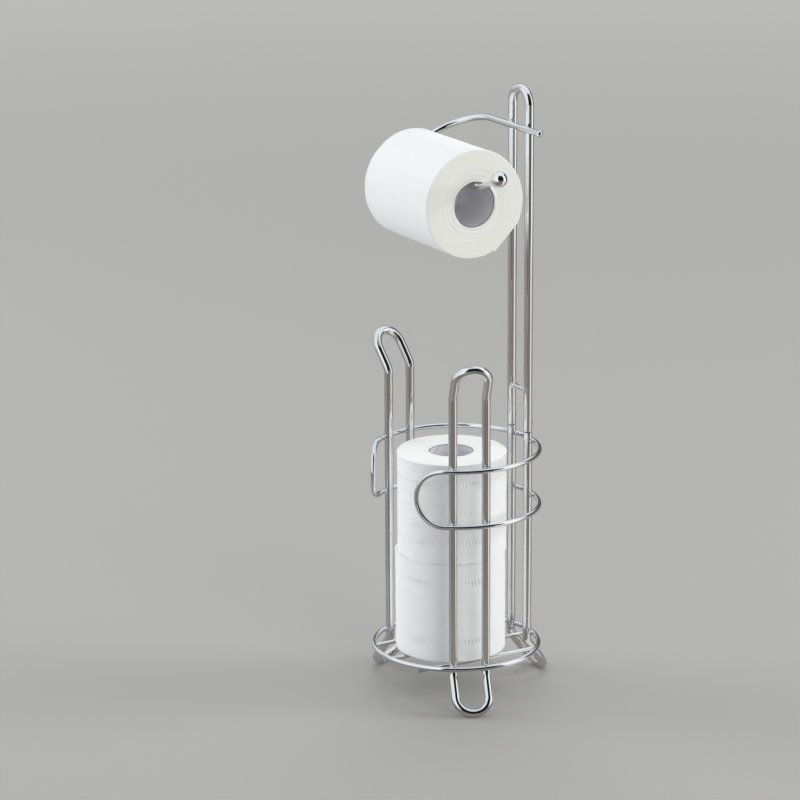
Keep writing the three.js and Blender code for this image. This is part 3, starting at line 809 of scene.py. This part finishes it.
def mask_node(tree, name):
    """The value of a mask that the piece's mesh carries."""
    return shader_node(tree, "ShaderNodeAttribute", attribute_name=name).outputs["Fac"]


card_low_tint, card_high_tint = (0.73, 0.725, 0.76, 1), (0.82, 0.815, 0.85, 1)
# The rim colour is painted shadow: it darkens the cores' cut ends and outer side into the thin line of
# shade round each hole.
card_seam_tint, card_rim_painted_shadow = (0.46, 0.46, 0.48, 1), (0.16, 0.155, 0.15, 1)
card, tree, shader = new_material("wound_card")
card_fibre = shader_node(
    tree, "ShaderNodeGroup", {"Fibre Size": 500.0, "Depth": 0.00006}, node_tree=fibre)
card_tone = range_node(tree, card_fibre.outputs["Tone"], from_low=0.3, from_high=0.7)
card_tint = blend_node(tree, card_tone, card_low_tint, card_high_tint)
card_tint = blend_node(tree, mask_node(tree, "seam_line"), card_tint, card_seam_tint)
set_inputs(tree, shader, {
    "Base Color": blend_node(tree, mask_node(tree, "painted_rim_shadow"), card_tint, card_rim_painted_shadow),
    "Roughness": 0.3, "Specular IOR Level": 0.95, "Normal": card_fibre.outputs["Normal"]})

rolls = {
    "hung_roll": {"axis": (1, 0, 0), "side": (0, 1, 0), "body": "hung_roll", "seam_at": 0.412},
    "lower_spare": {"axis": (0, 0, 1), "side": (1, 0, 0), "body": "lower_spare_roll", "seam_at": 0.37},
    "upper_spare": {"axis": (0, 0, 1), "side": (1, 0, 0), "body": "upper_spare_roll", "seam_at": 0.347},
}
core_wall, core_edge, core_rows, core_columns = 0.0007, 0.00015, 110, 240


def roll_measures(node, roll):
    """A roll piece's axis and side, its length, where it starts on its axis, and its outer radius."""
    low, high = (np.array(corner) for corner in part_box(node))
    axis, side = np.array(roll["axis"], float), np.array(roll["side"], float)
    length = (high - low) @ axis
    return axis, side, length, (low + high) / 2 - axis * length / 2, (high - low) @ side / 2


# The seam is a fine dark line, past which the lap falls off from seam_step to nothing
seam_pitch, seam_step, seam_width_share, lap_share = 0.085, 0.00022, 0.009, 0.12
for name, roll in rolls.items():
    axis, side, length, start, outer = roll_measures(f"{name}_core", roll)
    roll["hole"] = outer + touch_gap
    inner = outer - core_wall
    rows = np.linspace(core_edge, length - core_edge, core_rows)
    plain = np.ones_like(rows)
    profile = np.concatenate([
        [(inner + core_edge, 0), (outer - core_edge, 0)],
        np.stack([outer * plain, rows], axis=1),
        [(outer - core_edge, length), (inner + core_edge, length)],
        np.stack([inner * plain, rows[::-1]], axis=1)])
    rings = turned(*profile.T, start, axis, side, core_columns)
    radii, reach = profile[:, :1], profile[:, 1:]
    phase = (np.arange(core_columns) / core_columns + reach / seam_pitch + roll["seam_at"]) % 1
    inside = radii <= inner + core_edge / 2
    lap = seam_step * np.clip(1 - phase / lap_share, 0, 1) * inside
    middle_line = start + reach[..., None] * axis
    rings = rings - unit(rings - middle_line) * lap[..., None]
    seam_line = np.exp(-(np.minimum(phase, 1 - phase) / seam_width_share) ** 2) * inside
    at_end = np.abs(reach - length / 2) > length / 2 - core_edge * 2
    # The cut ends and the outer side take the painted rim shadow.
    painted_rim_shadow = np.repeat((radii > inner) | at_end, core_columns, axis=1).astype(float)
    masks = {"seam_line": seam_line, "painted_rim_shadow": painted_rim_shadow}
    core = mesh_piece(f"{name}_core_tube", [(rings, True)], card, masks)
    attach(core, roll["body"])
    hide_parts(f"{name}_core")


# The rolls' paper: white two-ply tissue, wound layer on layer and sawn off at both faces. Two rows of
# short embossed dashes hold its plies together, and its last sheet ends in a loose edge.
wall_low_tint, wall_high_tint = (0.895, 0.903, 0.912, 1), (0.935, 0.943, 0.952, 1)
# The dashes' grey is mostly painted shade in their valleys, with a little of the greyer look of pressed
# tissue.
dash_valley_shade_tint, plain_face_tint = (0.66, 0.67, 0.68, 1), (0.875, 0.875, 0.84, 1)
layer_low_tint, layer_high_tint = (0.40, 0.395, 0.36, 1), (0.92, 0.92, 0.89, 1)
tissue, tree, shader = new_material("wound_tissue")
tissue_fibre = shader_node(
    tree, "ShaderNodeGroup", {"Fibre Size": 900.0, "Depth": 0.00009}, node_tree=fibre)
face_mask, near_core = mask_node(tree, "sawn_face"), mask_node(tree, "near_core")
tissue_tone = range_node(tree, tissue_fibre.outputs["Tone"], from_low=0.25, from_high=0.75)
wall_tint = blend_node(tree, tissue_tone, wall_low_tint, wall_high_tint)
# The pressed mask lays painted shade into the dashes' valleys.
wall_tint = blend_node(tree, mask_node(tree, "pressed"), wall_tint, dash_valley_shade_tint)

# The layers' edges are thin lines at even steps along the face, which a slow noise pushes in and out
# and a second one leaves out in places. The soft creases are a third noise, as deep as nine lines.
layers_per_metre, push_steps, line_share = 430.0, 2.6, 0.15
push_scales, gap_scales, crease_scales = (1.7, 1.7, 90), (0.8, 0.8, 260), (1.8, 1.8, 190)
gap_from, gap_to, layer_height, crease_to_line = 0.40, 0.62, 0.00010, 9.0
winding = shader_node(tree, "ShaderNodeAttribute", attribute_name="winding").outputs["Vector"]
along_face = shader_node(tree, "ShaderNodeSeparateXYZ", {0: winding}).outputs[2]
layer_count = math_node(tree, "MULTIPLY", along_face, layers_per_metre)
push = stretched_noise(tree, winding, push_scales, detail=1.5)
pushed = math_node(tree, "MULTIPLY_ADD", push, push_steps, layer_count)
off_line = range_node(tree, math_node(tree, "PINGPONG", pushed, 0.5), 0.0, line_share)
gaps = stretched_noise(tree, winding, gap_scales, detail=2.0)
left_out = range_node(tree, gaps, gap_from, gap_to)
layer_tone = math_node(tree, "MAXIMUM", off_line, left_out)
lined_face = blend_node(tree, layer_tone, layer_low_tint, layer_high_tint)
face_tint = blend_node(tree, near_core, plain_face_tint, lined_face)
layer_depth = math_node(tree, "MULTIPLY", layer_tone, math_node(tree, "MULTIPLY", near_core, face_mask))
soft_creases = stretched_noise(tree, winding, crease_scales, detail=3.0)
crease_share = math_node(tree, "MULTIPLY", mask_node(tree, "slack"), crease_to_line)
tissue_relief = math_node(
    tree, "ADD", layer_depth, math_node(tree, "MULTIPLY", soft_creases, crease_share))
tissue_normal = bump_node(tree, tissue_relief, layer_height, {"Normal": tissue_fibre.outputs["Normal"]})
set_inputs(tree, shader, {
    "Base Color": blend_node(tree, face_mask, wall_tint, face_tint), "Roughness": 0.95,
    "Specular IOR Level": 0.2, "Sheen Weight": 0.22, "Sheen Roughness": 0.6, "Normal": tissue_normal})

# How each roll is wound and cut: the bearing of its last sheet's edge and the width of the straight
# flap before it, in degrees, the edge's height, how far the wall sags between layers, how clear its
# layers, dashes and creases are, its rims' rounds, and the warmth of its sawn faces
rolls["hung_roll"].update(
    tail=-66.5, flat=40.7, tail_step=0.0014, sag=0.0003, seed=3, loose=1.0, pressed=0.3, slack=0.4,
    rims=(0.0010, 0.0010), face_warmth=1.0)
rolls["lower_spare"].update(
    tail=118, flat=9, tail_step=0.0007, sag=0.0004, seed=11, loose=0.3, pressed=0.85, slack=0.9,
    rims=(0.0010, 0.0012), face_warmth=0.35)
rolls["upper_spare"].update(
    tail=150, flat=7, tail_step=0.0007, sag=0.0004, seed=20, loose=0.3, pressed=0.85, slack=0.9,
    rims=(0.0002, 0.0015), face_warmth=0.35)
columns, face_rows, rim_rows, edge_rows, dash_rows, plain_rows = 576, 38, 5, 10, 18, 14
wall_rows = 2 * (edge_rows + dash_rows + plain_rows) + 1
face_power, edge_fall = 1.5, np.radians(14)
angle = np.arange(columns) * 2 * np.pi / columns

# Waves round a roll as (count, height): how it sags, where its dashes are strong, and how far the
# layers near its core are out of round
sag_waves = ((2, 1.0), (3, 0.6), (5, 0.45), (8, 0.3))
patch_waves, patch_mean = ((6, 0.42), (5, 0.12)), 0.5
layer_waves, round_again = ((7, 0.0004), (11, 0.00024)), 14
dash_count, dash_lean, dash_power, faintest_dash, pressed_shade = 96, 280, 0.7, 0.05, 0.4
dash_inset, dash_half_height, dash_margin, dash_depth = 0.0200, 0.0023, 0.004, 0.0010


def waves_round(count_heights, starts):
    """Waves round a roll: the sum of height * cos(count * angle + start)."""
    return sum(
        height * np.cos(count * angle + start) for (count, height), start in zip(count_heights, starts))


def dash_row(off_row, patch_start):
    """How far the paper is pressed at off_row metres along the roll from a row of dashes. It is a
    narrow cosine pulse round the roll, which slants along the roll, times a flat-topped window
    exp(-(off_row / dash_half_height)^4), and it is stronger in some places than in others."""
    pulse = np.clip(np.cos(dash_count * angle + dash_lean * off_row), 0, 1) ** dash_power
    window = np.exp(-(off_row / dash_half_height) ** 4)
    patchy = patch_mean + waves_round(patch_waves, (0, patch_start))
    return window * pulse * np.clip(patchy, faintest_dash, 1)


# Slanting creases as (depth, count, slant, number of places where they fade)
slanting_creases = ((0.00012, 9, 2.2, 1), (0.00007, 16, -3, 2))
ring_crease_depth, ring_creases, ring_wander = 0.00006, 5, 2


def soft_creases_along(turns, starts):
    """Soft creases in the wall, at or below zero. Slanting ones are depth * (sin(count * angle +
    slant * turns + start) * fade - 1) with fade = (1 + cos(fades * angle + start)) / 2, and those
    round the roll are depth * (sin(ring_creases * turns + ring_wander * cos(3 * angle + start)) - 1)."""
    wander = ring_wander * np.cos(3 * angle + starts[4])
    creases = ring_crease_depth * (np.sin(ring_creases * turns + wander) - 1)
    crease_starts = zip(slanting_creases, starts[::2], starts[1::2])
    for (depth, count, slant, fades), start, fade_start in crease_starts:
        fade = (1 + np.cos(fades * angle + fade_start)) / 2
        creases = creases + depth * (np.sin(count * angle + slant * turns + start) * fade - 1)
    return creases


# The ridges of the sawn faces, which fade out by near_core_share, as (height, pitch, phase)
face_ridges = ((0.00016, 0.0019, 1.3), (0.00012, 0.0011, 0))
near_core_share, dish_depth, ridge_mean = 0.75, 0.0004, 0.00015
wander_height, wander_pitch = 0.00022, 0.0043
for name, roll in rolls.items():
    axis, side, length, start, outer = roll_measures(f"{name}_paper", roll)
    hole = roll["hole"]
    draw = np.random.default_rng(roll["seed"])
    starts = draw.uniform(0, 2 * np.pi, 12)
    sag_starts, patch_start, layer_starts = starts[:4], starts[4], starts[[2, 5]]
    crease_starts, wander_start = starts[6:11], starts[11]

    # The profile runs out over one face, round the rim, along the wall and back over the other face
    share = np.linspace(0, 1, face_rows) ** face_power
    t = np.linspace(0, np.pi / 2, rim_rows + 2)[1:-1]
    halves = []
    for rim_round in roll["rims"]:
        wall_reach = np.concatenate([
            np.linspace(rim_round, dash_inset - dash_margin, edge_rows, endpoint=False),
            np.linspace(dash_inset - dash_margin, dash_inset + dash_margin, dash_rows, endpoint=False),
            np.linspace(dash_inset + dash_margin, length / 2, plain_rows, endpoint=False)])
        half_radii = np.concatenate([
            hole + (outer - rim_round - hole) * share, outer - rim_round * (1 - np.sin(t)),
            np.full(len(wall_reach), outer)])
        half_reach = np.concatenate([0 * share, rim_round * (1 - np.cos(t)), wall_reach])
        halves.append((half_radii, half_reach))
    (low_radii, low_reach), (high_radii, high_reach) = halves
    radii = np.concatenate([low_radii, [outer], high_radii[::-1], [hole, hole]])
    reach = np.concatenate([
        low_reach, [length / 2], length - high_reach[::-1], [length * 2 / 3, length / 3]])
    sawn_face, wall = np.zeros(len(radii)), np.zeros(len(radii))
    sawn_face[:face_rows] = 1
    sawn_face[-face_rows - 2:-2] = 1
    wall[face_rows + rim_rows:face_rows + rim_rows + wall_rows] = 1
    sawn_face, wall = sawn_face[:, None], wall[:, None]

    # The loose last sheet runs straight to its edge, which stands a little above the layer below it.
    # Past the edge the wall comes back out over edge_fall.
    flat = np.radians(roll["flat"]) / 2
    tail = np.radians(roll["tail"])
    from_flat_middle = (angle - tail - flat + np.pi) % (2 * np.pi) - np.pi
    chord = outer * np.cos(flat) / np.cos(np.clip(from_flat_middle, -flat, flat)) - outer
    past_tail = (tail - angle) % (2 * np.pi)
    step = -roll["tail_step"] * np.exp(-past_tail / edge_fall) * (past_tail > 0)
    sag = waves_round(sag_waves, sag_starts) - sum(height for _, height in sag_waves)
    shape = np.where(np.abs(from_flat_middle) <= flat, chord, step + roll["sag"] * sag)
    inward = ((radii - hole) / (outer - hole)) ** 2
    pressed = wall * roll["pressed"] * sum(
        dash_row(reach[:, None] - inset, patch_start) for inset in (dash_inset, length - dash_inset))
    creases = soft_creases_along(reach[:, None] / length * 2 * np.pi, crease_starts)
    bulge = inward[:, None] * shape + wall * (creases - dash_depth * pressed)

    # The layers near the core stand a little in and out of the sawn face, and aren't quite round
    depth_share = (radii - hole) / hole
    near = np.clip(1 - depth_share / near_core_share, 0, 1)
    ridges = ridge_mean + sum(
        height * np.sin(radii * 2 * np.pi / pitch + phase) for height, pitch, phase in face_ridges)
    dished = dish_depth * np.clip(1 - depth_share, 0, 1) ** 2
    wander = wander_height * near * np.sin(radii * 2 * np.pi / wander_pitch)
    settle = (near * ridges + dished)[:, None] + wander[:, None] * np.sin(3 * angle + wander_start)
    settle = np.clip(settle, 0, None) * sawn_face
    toward_middle = np.where(reach < length / 2, 1, -1)[:, None]
    clear_of_core = (near * np.clip(depth_share * round_again, 0, 1))[:, None]
    ring_radii = radii[:, None] + bulge + waves_round(layer_waves, layer_starts) * clear_of_core
    ring_reach = reach[:, None] + settle * toward_middle
    rings = turned(ring_radii, ring_reach, start, axis, side, columns)
    along = np.append(0, np.cumsum(np.hypot(np.diff(radii), np.diff(reach))))
    masks = {
        "sawn_face": np.repeat(sawn_face * roll["face_warmth"], columns, axis=1),
        "near_core": np.repeat(near[:, None] * roll["loose"], columns, axis=1),
        "slack": np.repeat(wall * roll["slack"], columns, axis=1),
        # The pressed mask paints shade into the dashes' valleys.
        "pressed": pressed_shade * pressed,
        "winding": np.stack(
            np.broadcast_arrays(np.cos(angle), np.sin(angle), along[:, None]), axis=-1)}
    paper = mesh_piece(f"{name}_paper_winding", [(rings, True)], tissue, masks)
    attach(paper, roll["body"])
    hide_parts(f"{name}_paper")
